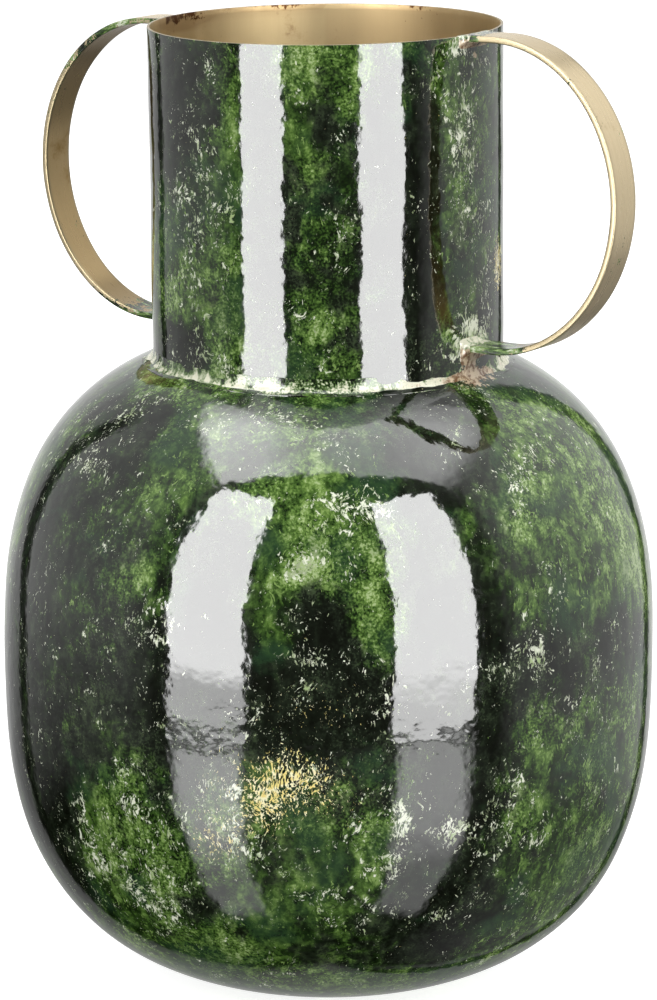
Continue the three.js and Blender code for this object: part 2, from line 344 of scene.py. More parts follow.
def corners(piece):
    """The places of a mesh's corners, one row each."""
    flat = np.empty(len(piece.data.vertices) * 3, np.float32)
    piece.data.vertices.foreach_get("co", flat)
    return flat.reshape(-1, 3)


def store(piece, name, values):
    """Keeps one value for each corner, for the piece's material to read."""
    layer = piece.data.attributes.new(name, "FLOAT", "POINT")
    layer.data.foreach_set("value", np.asarray(values, np.float32))


def soft_step(value, low, high):
    share = np.clip((value - low) / (high - low), 0.0, 1.0)
    return share * share * (3 - 2 * share)


def weigh(piece, name, weights):
    """The name of a new vertex group with one weight for each corner."""
    group = piece.vertex_groups.new(name=name)
    for index, weight in enumerate(weights):
        group.add([index], float(weight), "REPLACE")
    return group.name


def lumps(piece, size, height, weights=None):
    """Moves the surface in and out by a cloudy texture, as uneven hand work leaves it."""
    texture = bpy.data.textures.new(piece.name + "_lumps", "CLOUDS")
    texture.noise_scale = size
    texture.noise_depth = 1
    group = "" if weights is None else weigh(piece, "uneven", weights)
    shape(piece, "DISPLACE", texture=texture, texture_coords="LOCAL", strength=height, vertex_group=group)


def lean(piece, lift=0.0):
    """Tips a piece a little to the left about the foot of the neck, as it was welded by eye, and lifts it."""
    foot = Matrix.Translation((0, 0, JOINT_HEIGHT))
    tip = foot @ Matrix.Rotation(LEAN, 4, FRONT) @ foot.inverted()
    piece.matrix_world = Matrix.Translation((0, 0, lift)) @ tip
    pick(piece)
    bpy.ops.object.transform_apply(location=True, rotation=True, scale=True)


def dress(piece, slot, *nodes):
    """Fixes a finished piece to the vase, in place of the plain solids that it stands for."""
    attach(piece, "root")
    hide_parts(*nodes)


# Where the sponged paint lies

def dab_cover(places, dabs):
    """For each place, the summed strength of the dabs that lie on it, and the sum of their weights."""
    angle = np.degrees(np.arctan2(places @ np.array(RIGHT), places @ np.array(FRONT)))
    height = places[:, 2] * 1000
    total = np.zeros(len(places))
    reach = np.zeros(len(places))
    for middle, level, wide, tall, strength in dabs:
        off = ((angle - middle) / wide) ** 2 + ((height - level) / tall) ** 2
        weight = np.exp(-DAB_FADE * off ** DAB_EDGE)
        total += strength * weight
        reach += weight
    return total, reach


def lay_paint(piece):
    """Stores how much green, cream, gilt and tan there is at each corner of an enamelled piece, and how much
    rust stain and painted shade.
    """
    places = corners(piece).astype(float)
    moss, reach = dab_cover(places, MOSS_DABS)
    bare = 1 - np.minimum(reach, 1.0)
    patches = np.array([noise.noise(Vector(place) / PATCH_SIZE) for place in places])
    store(piece, "moss", moss / np.maximum(reach, 1.0) + bare * patches * PATCH_STRENGTH)
    for name, dabs in (("cream", CREAM_DABS), ("gilt", GILT_DABS), ("tan", TAN_DABS), ("rust", RUST_AND_SHADE_DABS)):
        store(piece, name, np.minimum(dab_cover(places, dabs)[0], FULL_DAB))


# Node helpers

def empty_tree(owner):
    """The node tree of a material or world, with nothing in it."""
    owner.use_nodes = True
    owner.node_tree.nodes.clear()
    return owner.node_tree


def give(tree, sockets, values):
    """Links or sets each input that is named."""
    for name, value in values.items():
        if isinstance(value, bpy.types.NodeSocket):
            tree.links.new(value, sockets[name])
        else:
            sockets[name].default_value = value


def add_node(tree, kind, inputs=None, **settings):
    """One node with its settings, and each named input given a value or a link."""
    made = tree.nodes.new(kind)
    for name, value in settings.items():
        setattr(made, name, value)
    give(tree, made.inputs, inputs or {})
    return made


def mix_colour(tree, share, under, over):
    return add_node(tree, "ShaderNodeMix", {0: share, 6: under, 7: over}, data_type="RGBA").outputs[2]


def mix_value(tree, share, under, over):
    return add_node(tree, "ShaderNodeMix", {0: share, 2: under, 3: over}).outputs[0]


def sums(tree, operation, *values):
    return add_node(tree, "ShaderNodeMath", dict(enumerate(values)), operation=operation).outputs[0]


def times(tree, first, *others):
    """The product of two or more values."""
    for other in others:
        first = sums(tree, "MULTIPLY", first, other)
    return first


def weighted(tree, *pairs):
    """The sum of each value times its weight."""
    total = sums(tree, "MULTIPLY", *pairs[0])
    for value, weight in pairs[1:]:
        total = sums(tree, "MULTIPLY_ADD", value, weight, total)
    return total


def between(tree, value, low, high):
    """Rises softly from 0 at low to 1 at high, or falls where high is the lower one."""
    inputs = {"Value": value, "From Min": low, "From Max": high}
    return add_node(tree, "ShaderNodeMapRange", inputs, interpolation_type="SMOOTHSTEP").outputs["Result"]


def cloud(tree, vector, scale, detail=2.0, rough=0.5, twist=0.0):
    inputs = {"Vector": vector, "Scale": scale, "Detail": detail, "Roughness": rough, "Distortion": twist}
    return add_node(tree, "ShaderNodeTexNoise", inputs).outputs[0]


def clouded(tree, place, scale, ends, under, over, detail=2.0, rough=0.5):
    """One colour over another in soft clouds, which start and are full at the two ends."""
    return mix_colour(tree, between(tree, cloud(tree, place, scale, detail, rough), *ends), under, over)


def colour_steps(tree, value, *stops):
    """A colour that changes through the stops, each a place from 0 to 1 and a colour."""
    ramp = add_node(tree, "ShaderNodeValToRGB", {"Fac": value})
    elements = ramp.color_ramp.elements
    while len(elements) < len(stops):
        elements.new(1.0)
    for element, (place, colour) in zip(elements, stops):
        element.position = place
        element.color = colour
    return ramp.outputs["Color"]


def layer_of(tree, name):
    return add_node(tree, "ShaderNodeAttribute", attribute_name=name).outputs["Fac"]


def raised(tree, height, distance, normal=None):
    """A normal that follows a height, over another normal if one is given."""
    inputs = {"Height": height, "Distance": distance, "Strength": 1.0}
    if normal is not None:
        inputs["Normal"] = normal
    return add_node(tree, "ShaderNodeBump", inputs).outputs["Normal"]


def bend(tree, vector, scale, reach):
    """Coordinates pushed about by a slow noise, so that strokes drawn in them curve."""
    push = add_node(tree, "ShaderNodeTexNoise", {"Vector": vector, "Scale": scale, "Detail": 1.0})
    inputs = {0: push.outputs["Color"], 1: (reach, reach, reach), 2: vector}
    return add_node(tree, "ShaderNodeVectorMath", inputs, operation="MULTIPLY_ADD").outputs["Vector"]


def drawn_out(tree, vector, turn, stretch):
    """Turned coordinates, shortened along one axis so that noise in them is drawn out into strokes."""
    inputs = {"Vector": vector, "Rotation": turn, "Scale": (1.0, 1.0, stretch)}
    return add_node(tree, "ShaderNodeMapping", inputs).outputs["Vector"]


# Node groups that the finishes share

def new_group(name, inputs, outputs):
    """An empty shader node group, with its input and output sockets made."""
    tree = bpy.data.node_groups.new(name, "ShaderNodeTree")
    for label, default in inputs.items():
        kind = "NodeSocketVector" if default is None else "NodeSocketFloat"
        socket = tree.interface.new_socket(label, in_out="INPUT", socket_type=kind)
        if default is not None:
            socket.default_value = default
    for label, kind in outputs.items():
        tree.interface.new_socket(label, in_out="OUTPUT", socket_type=kind)
    return tree, add_node(tree, "NodeGroupInput").outputs, add_node(tree, "NodeGroupOutput").inputs


def use_group(tree, group, **inputs):
    """Places a group in a material. Underscores in the names stand for spaces."""
    made = add_node(tree, "ShaderNodeGroup", node_tree=group)
    give(tree, made.inputs, {name.replace("_", " "): value for name, value in inputs.items()})
    return made.outputs


def dabbed_group():
    """Depth of dabbed paint around a level: patches, bent strokes two ways, pores, and grit in places."""
    inputs = {"Vector": None, "Level": 0.5, "Grain": 280.0}
    tree, given, result = new_group("Dabbed Depth", inputs, {"Depth": "NodeSocketFloat"})
    place = given["Vector"]

    def grain(share):
        return times(tree, given["Grain"], share)

    bent = bend(tree, place, 60.0, 0.008)
    first = cloud(tree, drawn_out(tree, bent, (0.5, 0.4, 0.0), 0.4), given["Grain"])
    second = cloud(tree, drawn_out(tree, bent, (-0.7, -0.5, 0.8), 0.4), given["Grain"])
    way = between(tree, cloud(tree, place, grain(0.12), 1.0), 0.46, 0.54)
    strokes = mix_value(tree, way, first, second)
    broad = cloud(tree, place, grain(0.2), 5.0, 0.62, 0.6)
    pores = cloud(tree, place, grain(1.5), 3.0, 0.65, 0.6)
    grit = cloud(tree, place, grain(4.0), 1.0)
    touched = between(tree, cloud(tree, place, grain(0.1)), 0.4, 0.6)
    swing = weighted(tree, (strokes, 1.0), (broad, 1.35), (pores, 0.85), (-1.6, 1.0))
    rough = times(tree, sums(tree, "SUBTRACT", grit, 0.5), weighted(tree, (touched, 0.9), (0.1, 1.0)))
    depth = sums(tree, "ADD", sums(tree, "ADD", swing, rough), given["Level"])
    tree.links.new(depth, result["Depth"])
    return tree


def fleck_group():
    """Ragged clustered flecks of paint, thicker where the density is higher."""
    inputs = {"Vector": None, "Density": 0.3, "Size": 0.001, "Clumping": 0.38}
    tree, given, result = new_group("Paint Flecks", inputs, {"Mask": "NodeSocketFloat"})
    scale = sums(tree, "DIVIDE", 1.0, given["Size"])
    bent = bend(tree, given["Vector"], 90.0, 0.008)
    grain = cloud(tree, drawn_out(tree, bent, (0.4, 0.3, 0.0), 0.55), scale, 3.0, 0.6, 0.6)
    clump = cloud(tree, given["Vector"], times(tree, scale, 0.16), 4.0, 0.65)
    field = mix_value(tree, given["Clumping"], grain, clump)
    low = sums(tree, "MULTIPLY_ADD", given["Density"], -0.18, 0.70)
    high = sums(tree, "ADD", low, 0.045)
    tree.links.new(between(tree, field, low, high), result["Mask"])
    return tree


def ripple_group():
    """Slow waves and a fine orange peel in fired enamel, as a normal."""
    inputs = {"Vector": None, "Wave Scale": 120.0, "Wave Height": 0.00016, "Peel Height": 0.00001}
    tree, given, result = new_group("Enamel Ripple", inputs, {"Normal": "NodeSocketVector"})
    waves = cloud(tree, given["Vector"], given["Wave Scale"])
    peel = cloud(tree, given["Vector"], times(tree, given["Wave Scale"], 6.0))
    broad = raised(tree, waves, given["Wave Height"])
    tree.links.new(raised(tree, peel, given["Peel Height"], broad), result["Normal"])
    return tree


def wear_group():
    """Tarnish in clouds on bare metal, and fine rubbing marks in coordinates of their own."""
    inputs = {"Vector": None, "Rubbed": None, "Tarnish": 0.5, "Mark Scale": 400.0}
    outputs = {"Tarnish": "NodeSocketFloat", "Marks": "NodeSocketFloat"}
    tree, given, result = new_group("Metal Wear", inputs, outputs)
    stain = cloud(tree, given["Vector"], 60.0, 5.0, 0.65)
    speck = cloud(tree, given["Vector"], 700.0, 3.0, 0.6)
    field = weighted(tree, (stain, 0.8), (speck, 0.2))
    low = sums(tree, "MULTIPLY_ADD", given["Tarnish"], -0.25, 0.68)
    high = sums(tree, "ADD", low, 0.2)
    tree.links.new(between(tree, field, low, high), result["Tarnish"])
    marks = cloud(tree, given["Rubbed"], given["Mark Scale"], 3.0, 0.7)
    tree.links.new(between(tree, marks, 0.35, 0.75), result["Marks"])
    return tree


DABBED = dabbed_group()
FLECKS = fleck_group()
RIPPLE = ripple_group()
WEAR = wear_group()


def dabbed(tree, place, *level, **more):
    """Depth of dabbed paint around a level, which is the sum of each value times its weight."""
    return use_group(tree, DABBED, Vector=place, Level=weighted(tree, *level), **more)["Depth"]


def flecks(tree, place, size, *density, **more):
    """Mask of flecks of one size, with a density that is the sum of each value times its weight."""
    return use_group(tree, FLECKS, Vector=place, Size=size, Density=weighted(tree, *density), **more)["Mask"]


# Finishes

def new_material(name):
    """An empty material: its node tree, the inputs of its shader, and the place on the piece."""
    material = bpy.data.materials.new(name)
    tree = empty_tree(material)
    shader = add_node(tree, "ShaderNodeBsdfPrincipled")
    add_node(tree, "ShaderNodeOutputMaterial", {"Surface": shader.outputs[0]})
    return material, tree, shader.inputs, add_node(tree, "ShaderNodeTexCoord").outputs["Object"]


def burnt_scale(tree, place):
    """Tan heat scale with brown rust in it."""
    return clouded(tree, place, 420.0, (0.4, 0.58), RUST_SCALE, TAN_SCALE, 4.0, 0.65)


def enamel_paint():
    """Glossy fired enamel: black ground, dabbed and washed greens, cream flecks and a little gilt."""
    material, tree, inputs, place = new_material("mottled_enamel")
    moss = layer_of(tree, "moss")
    cream = layer_of(tree, "cream")
    depth = dabbed(tree, place, (moss, 0.2), (0.48, 1.0))
    green = colour_steps(tree, depth, (0.0, BLACK_GROUND), (0.22, DEEP_GREEN), (0.36, DARK_GREEN),
                         (0.50, MOSS_GREEN), (0.62, LEAF_GREEN), (0.74, BRIGHT_GREEN), (0.87, PALE_GREEN),
                         (1.0, MIST_GREEN))
    ground = colour_steps(tree, depth, (0.0, BLACK_GROUND), (0.25, DEEP_GROUND), (0.42, DARK_GROUND),
                          (0.60, GREY_GROUND), (0.9, PALE_GROUND))
    wash = between(tree, cloud(tree, place, 38.0, 3.0), 0.48, 0.64)
    green = mix_colour(tree, times(tree, wash, WASH_STRENGTH), green, SEA_GREEN)
    ragged = cloud(tree, place, 80.0, 5.0, 0.65, 0.5)
    cover = between(tree, weighted(tree, (moss, 0.4), (ragged, 1.5)), 0.5, 0.85)
    colour = mix_colour(tree, cover, ground, green)
    sprig = flecks(tree, place, SPRIG_SIZE, (cover, 0.45), (moss, 0.1), (wash, -0.15), (0.3, 1.0))
    leaf = clouded(tree, place, 200.0, (0.4, 0.6), LEAF_GREEN, PALE_GREEN)
    colour = mix_colour(tree, sprig, colour, leaf)
    speckle = between(tree, cloud(tree, place, 45.0), 0.4, 0.65)
    fine = flecks(tree, place, FINE_SIZE, (cream, 0.5), (speckle, 0.25), (0.38, 1.0))
    pale = clouded(tree, place, 260.0, (0.4, 0.62), DIM_CREAM, CREAM)
    colour = mix_colour(tree, fine, colour, pale)
    bold = flecks(tree, place, BOLD_SIZE, (cream, 0.5), (cover, 0.16), (speckle, 0.2), (0.16, 1.0))
    light = clouded(tree, place, 140.0, (0.38, 0.56), MIST_GREEN, CREAM)
    colour = mix_colour(tree, bold, colour, light)
    burnt = dabbed(tree, place, (layer_of(tree, "tan"), 0.7), (-0.2, 1.0))
    colour = mix_colour(tree, between(tree, burnt, 0.4, 0.52), colour, burnt_scale(tree, place))
    gilt = flecks(tree, place, GILT_SIZE, (layer_of(tree, "gilt"), 1.45), (-0.05, 1.0), Clumping=0.12)
    leafed = clouded(tree, place, 380.0, (0.4, 0.6), DEEP_GILT, GILT)
    give(tree, inputs, {
        "Base Color": mix_colour(tree, gilt, colour, leafed),
        "Roughness": weighted(tree, (cloud(tree, place, 300.0, 3.0), 0.05), (0.03, 1.0)),
        "IOR": ENAMEL_IOR,
        "Normal": use_group(tree, RIPPLE, Vector=place)["Normal"],
    })
    return material


def weld_coat():
    """Enamel over a bead: pale on the crest, partly pale enamel and partly painted highlight; green and black
    in the hollows, partly painted shade; and tan where it burnt.
    """
    material, tree, inputs, place = new_material("bead_enamel")
    depth = dabbed(tree, place, (layer_of(tree, "crest"), 0.55), (0.17, 1.0), Grain=300.0)
    coat = colour_steps(tree, depth, (0.12, BLACK_GROUND), (0.3, DARK_GREEN), (0.42, LEAF_GREEN),
                        (0.54, DIM_CREAM), (0.68, BEAD_CREAM))
    burnt = between(tree, weighted(tree, (layer_of(tree, "tan"), 0.6), (depth, 0.5)), 0.5, 0.65)
    give(tree, inputs, {
        "Base Color": mix_colour(tree, burnt, coat, burnt_scale(tree, place)),
        "Roughness": weighted(tree, (depth, 0.2), (0.1, 1.0)),
        "IOR": ENAMEL_IOR,
        "Normal": use_group(tree, RIPPLE, Vector=place, Wave_Scale=300.0)["Normal"],
    })
    return material


def brass_strip():
    """Satin brass, darkened as painted shade inside the bow and on its eased edges, rubbed along the strip,
    with enamel caught on it in places.
    """
    material, tree, inputs, place = new_material("satin_brass")
    across = add_node(tree, "ShaderNodeSeparateXYZ", {"Vector": place}).outputs["Y"]

    def drawn_along(share):
        spot = {"X": times(tree, layer_of(tree, "along"), share), "Y": across, "Z": layer_of(tree, "depth")}
        return add_node(tree, "ShaderNodeCombineXYZ", spot).outputs["Vector"]

    wear = use_group(tree, WEAR, Vector=place, Rubbed=drawn_along(0.05), Tarnish=0.5, Mark_Scale=900.0)
    outside = weighted(tree, (wear["Tarnish"], 0.5), (wear["Marks"], 0.12))
    # Painted shade: the inside of the bow is darkened
    inside = times(tree, layer_of(tree, "inner"), weighted(tree, (wear["Tarnish"], 0.3), (0.74, 1.0)))
    colour = mix_colour(tree, sums(tree, "MAXIMUM", outside, inside), BRASS, BRASS_DARK)
    edge = layer_of(tree, "edge")
    # Painted shade: the eased edges are darkened
    colour = mix_colour(tree, times(tree, edge, 0.8), colour, BRASS_EDGE_SHADE)
    splash = dabbed(tree, place, (layer_of(tree, "caught"), 0.65), (-0.05, 1.0), Grain=330.0)
    caught = between(tree, splash, 0.36, 0.44)
    smears = cloud(tree, drawn_along(0.3), 320.0, 5.0, 0.7)
    paint = colour_steps(tree, smears, (0.38, BLACK_GROUND), (0.46, DARK_GREEN), (0.52, LEAF_GREEN),
                         (0.58, PALE_GREEN), (0.64, CREAM))
    rough = weighted(tree, (wear["Tarnish"], 0.12), (wear["Marks"], 0.08), (edge, 0.1), (0.27, 1.0))
    give(tree, inputs, {
        "Base Color": mix_colour(tree, caught, colour, paint),
        "Metallic": sums(tree, "MULTIPLY_ADD", caught, -0.85, 0.85),
        "Roughness": sums(tree, "MULTIPLY_ADD", caught, -0.15, rough),
        "Normal": raised(tree, wear["Marks"], 0.00001),
    })
    return material


def rust_stain(tree, place):
    """Mask of the brown stain on bare metal."""
    return between(tree, dabbed(tree, place, (layer_of(tree, "rust"), 0.65), (-0.25, 1.0)), 0.32, 0.58)


def gilt_lining():
    """The gold-coloured inside of the neck and body, satin and a little stained, with painted shade darkening
    its far wall on the left and right.
    """
    material, tree, inputs, place = new_material("gold_lining")
    rubbed = drawn_out(tree, place, (0, 0, 0), 0.1)
    wear = use_group(tree, WEAR, Vector=place, Rubbed=rubbed, Tarnish=0.5, Mark_Scale=300.0)
    # The rust layer darkens the lining with its stains and with the painted shade of the broad dabs
    rust_and_shade = sums(tree, "MINIMUM", layer_of(tree, "rust"), 0.25)
    tarnish_and_shade = weighted(tree, (wear["Tarnish"], 0.8), (rust_and_shade, 1.6))
    metal = mix_colour(tree, tarnish_and_shade, LINING, LINING_DARK)
    give(tree, inputs, {
        "Base Color": mix_colour(tree, rust_stain(tree, place), metal, RUST),
        "Metallic": 1.0,
        "Roughness": weighted(tree, (wear["Tarnish"], 0.15), (wear["Marks"], 0.1), (0.45, 1.0)),
    })
    return material


def bare_rim():
    """The cut edge of the neck, rubbed bright, with dark nicks."""
    material, tree, inputs, place = new_material("rubbed_rim")
    nicks = use_group(tree, FLECKS, Vector=place, Density=0.6, Size=NICK_SIZE)["Mask"]
    wear = use_group(tree, WEAR, Vector=place, Rubbed=place, Tarnish=0.6, Mark_Scale=500.0)
    metal = mix_colour(tree, wear["Tarnish"], RIM_METAL, LINING_DARK)
    stain = rust_stain(tree, place)
    dark = sums(tree, "MAXIMUM", nicks, stain)
    give(tree, inputs, {
        "Base Color": mix_colour(tree, nicks, mix_colour(tree, stain, metal, RUST), RUST),
        "Metallic": sums(tree, "MULTIPLY_ADD", dark, -0.8, 0.9),
        "Roughness": weighted(tree, (wear["Marks"], 0.2), (0.3, 1.0)),
    })
    return material


ENAMEL = enamel_paint()
BEAD = weld_coat()
BRASS_STRIP = brass_strip()
GOLD = gilt_lining()
RIM = bare_rim()


# The vessel

def superellipse(reach, fullness, radius):
    """Height of the body's curve above or below the belly at a radius."""
    return reach * (1 - (radius / BODY_RADIUS) ** fullness) ** (1 / fullness)


SHOULDER_REACH = (JOINT_HEIGHT - BELLY_HEIGHT) / superellipse(1.0, SHOULDER_FULLNESS, NECK_RADIUS)
BOWL_REACH = BELLY_HEIGHT / superellipse(1.0, BOWL_FULLNESS, RING_OUTSIDE)


def body_curve(reach, fullness, inner_radius, edge_height):
    """Outline from an inner radius out to the seam's edge, as even steps of radius and height."""
    sweep = np.linspace(0.0, math.pi / 2, CURVE_POINTS)
    radius = BODY_RADIUS * np.cos(sweep) ** (2 / fullness)
    height = BELLY_HEIGHT + reach * np.sin(sweep) ** (2 / fullness)
    keep = (radius > inner_radius) & (np.abs(height - BELLY_HEIGHT) > abs(edge_height - BELLY_HEIGHT))
    inner = (inner_radius, BELLY_HEIGHT + superellipse(reach, fullness, inner_radius))
    outer = (BODY_RADIUS, edge_height)
    line = np.vstack(([inner], np.stack((radius, height), axis=1)[keep][::-1], [outer]))
    return even_steps(line, SHELL_STEP)


def thicken(piece, *inside):
    """Gives a shell its thickness inwards. The inside, and then the cut edges, take the other materials."""
    for material in (ENAMEL, *inside):
        piece.data.materials.append(material)
    shape(piece, "SOLIDIFY", thickness=SHEET, offset=-1.0, use_even_offset=True,
          material_offset=1, material_offset_rim=len(inside))


def away_from_seam(piece):
    """Weights that fall to nothing at the belly, so that the shells run level into their seam."""
    return soft_step(np.abs(corners(piece)[:, 2] - BELLY_HEIGHT), *SEAM_EASE)


def enamel_over(piece, node):
    """Paints, smooths and fixes one piece of the body."""
    lay_paint(piece)
    smooth(piece, SHELL_SMOOTH)
    dress(piece, "enamel", node)


def lower_bowl():
    """Spun bowl with a push-up in its base, and its edge set in to slip behind the shoulder."""
    base = even_steps([(0.0, PUSH_UP), (PUSH_UP_RADIUS, PUSH_UP), (RING_INSIDE, 0.0), (RING_OUTSIDE, 0.0)],
                      SHELL_STEP)
    wall = body_curve(-BOWL_REACH, BOWL_FULLNESS, RING_OUTSIDE, SEAM_LOW.z)
    inside = BODY_RADIUS - LAP_SET_IN
    lap = [(inside, SEAM_LOW.z + JOGGLE_HEIGHT), (inside, BELLY_HEIGHT + LAP_HEIGHT)]
    piece = spin_line("lower_bowl_shell", np.vstack((base[:-1], wall, lap)))
    lumps(piece, *SHEET_WAVES, away_from_seam(piece) * soft_step(corners(piece)[:, 2], *BASE_EASE))
    thicken(piece, GOLD)
    enamel_over(piece, "lower_bowl")


def upper_shoulder():
    """Spun shoulder, from the belly seam to the neck."""
    wall = body_curve(SHOULDER_REACH, SHOULDER_FULLNESS, NECK_RADIUS, SEAM_HIGH.z)
    piece = spin_line("upper_shoulder_shell", wall)
    lumps(piece, *SHEET_WAVES, away_from_seam(piece))
    thicken(piece, GOLD)
    enamel_over(piece, "upper_shoulder")


def belly_seam():
    """The seam around the belly, ground level with both shells and enamelled over."""
    root = BODY_RADIUS - LAP_SET_IN
    ring = [(BODY_RADIUS, SEAM_LOW.z), (BODY_RADIUS, BELLY_HEIGHT), (BODY_RADIUS, SEAM_HIGH.z),
            (root, BELLY_HEIGHT), (BODY_RADIUS, SEAM_LOW.z)]
    piece = spin_line("belly_seam", ring)
    piece.data.materials.append(ENAMEL)
    enamel_over(piece, "belly_weld")


def neck_tube():
    """Rolled neck with a raw, lightly rounded rim and a gold inside."""
    wall = even_steps([(NECK_RADIUS, JOINT_HEIGHT - NECK_TAIL), (NECK_RADIUS, RIM_HEIGHT)], SHELL_STEP)
    piece = spin_line("neck_tube_shell", wall)
    near_rim = soft_step(corners(piece)[:, 2], RIM_HEIGHT - RIM_EASE, RIM_HEIGHT)
    lumps(piece, *NECK_WAVES, 1 - 0.7 * near_rim)
    thicken(piece, GOLD, RIM)
    ease_edges(piece, RIM_ROUND, 2)
    lay_paint(piece)
    smooth(piece, EASED_SMOOTH)
    lean(piece)
    dress(piece, "enamel", "neck_tube")


def neck_bead():
    """Uneven fillet of weld around the foot of the neck, under enamel that is pale on its crest, partly as
    painted highlight.
    """
    leg = COLLAR_HIGH.x - NECK_RADIUS
    top = COLLAR_HIGH.z
    foot = BELLY_HEIGHT + superellipse(SHOULDER_REACH, SHOULDER_FULLNESS, NECK_RADIUS + leg)
    sunk = SHEET * 0.4
    sweep = np.linspace(0.0, math.pi / 2, 9)
    face = np.stack((NECK_RADIUS + leg * (1 - np.sin(sweep)),
                     foot + (top - foot) * (1 - np.cos(sweep))), axis=1)
    back = [(NECK_RADIUS - sunk, top), (NECK_RADIUS - sunk, foot - sunk),
            (NECK_RADIUS + leg, foot - sunk), face[0]]
    piece = spin_line("neck_bead", np.vstack((face, back)))
    even = corners(piece)
    out = np.hypot(even[:, 0], even[:, 1]) - NECK_RADIUS
    lumps(piece, *NECK_BEAD_LUMPS, out > -sunk / 2)
    places = corners(piece).astype(float)
    # Pale on the crest and dark towards its edges: partly the enamel, partly painted highlight and painted
    # shade
    store(piece, "crest", 1 - np.abs(out / leg - 0.35) * 1.6 - dab_cover(places, THIN_DABS)[0])
    store(piece, "tan", dab_cover(places, TAN_DABS)[0])
    piece.data.materials.append(BEAD)
    smooth(piece, BEAD_SMOOTH)
    dress(piece, "weld_enamel", "neck_weld")


# Handles

def strip_route(side):
    """Centre line of one handle: straight out of the neck, round half an ellipse and straight back."""
    root = NECK_RADIUS - STRIP_ROOT
    bow = NECK_RADIUS + STRIP_STRAIGHT
    bulge = STRAP_HIGH.x - STRIP_THICKNESS / 2 - bow
    sweep = np.linspace(math.pi / 2, -math.pi / 2, BOW_POINTS)
    height = (STRIP_TOP + STRIP_FOOT) / 2 + (STRIP_TOP - STRIP_FOOT) / 2 * np.sin(sweep)
    arc = np.stack((bow + bulge * np.cos(sweep), height), axis=1)
    line = even_steps(np.vstack(([(root, STRIP_TOP)], arc, [(root, STRIP_FOOT)])), STRIP_STEP)
    return [(side * out, STRAP_LOW.y, height) for out, height in line]


def along_strip(place, side):
    """Each corner's distance along the strip, and its depth from the strip's centre line into the bow."""
    route = np.array(strip_route(side))[:, [0, 2]]
    middle = np.array((side * (NECK_RADIUS + STRIP_STRAIGHT), STRAP_MIDDLE))
    spot = place[:, [0, 2]].astype(float)
    nearest = np.argmin(((spot[:, None, :] - route[None, :, :]) ** 2).sum(axis=2), axis=1)
    depth = np.hypot(*(route[nearest] - middle).T) - np.hypot(*(spot - middle).T)
    return nearest * STRIP_STEP, depth


def catch_paint(piece, side):
    """Stores where a strip has enamel caught on it, where it takes painted shade inside the bow and on its
    edges, and the way along it.
    """
    place = corners(piece)
    out = np.abs(place[:, 0]) - NECK_RADIUS
    low = place[:, 2] < STRAP_MIDDLE
    along, depth = along_strip(place, side)
    underside = low & (depth < 0) & (side < 0)
    reach = np.where(underside[:, None], UNDERSIDE_CATCH, np.where(low[:, None], LOWER_CATCH, UPPER_CATCH))
    near_end = 1 - soft_step(out, reach[:, 0], reach[:, 1])
    near_edge = 1 - soft_step(place[:, 1] - STRAP_LOW.y, *EDGE_CATCH)
    bow_top = soft_step(place[:, 2] - STRAP_HIGH.z, *BOW_TOP_CATCH) * (side < 0)
    store(piece, "caught", np.maximum(near_end, 0.95 * near_edge * bow_top))
    # Painted shade inside the bow and on the eased edges
    store(piece, "inner", soft_step(depth, 0.0, STRIP_THICKNESS / 3) * INSIDE_SHADE[side])
    store(piece, "edge", soft_step(np.abs(place[:, 1]) - STRAP_HIGH.y, *EDGE_SHADE))
    store(piece, "along", along)
    store(piece, "depth", depth)


def strap_handle(name, side, node):
    """Flat brass strip, bent to a D and eased along its edges."""
    piece = draw_line(name, strip_route(side))
    bpy.ops.mesh.select_all(action="SELECT")
    for _ in range(STRIP_ACROSS):
        bpy.ops.mesh.extrude_region_move(TRANSFORM_OT_translate={"value": (0, STRIP_WIDTH / STRIP_ACROSS, 0)})
    face_outwards()
    shape(piece, "SOLIDIFY", thickness=STRIP_THICKNESS, offset=0.0, use_even_offset=True)
    ease_edges(piece, STRIP_EDGE, 3)
    lumps(piece, *STRIP_WAVES)
    piece.data.materials.append(BRASS_STRIP)
    catch_paint(piece, side)
    smooth(piece, EASED_SMOOTH)
    lean(piece, HANDLE_LIFT[side])
    dress(piece, "brass", node)


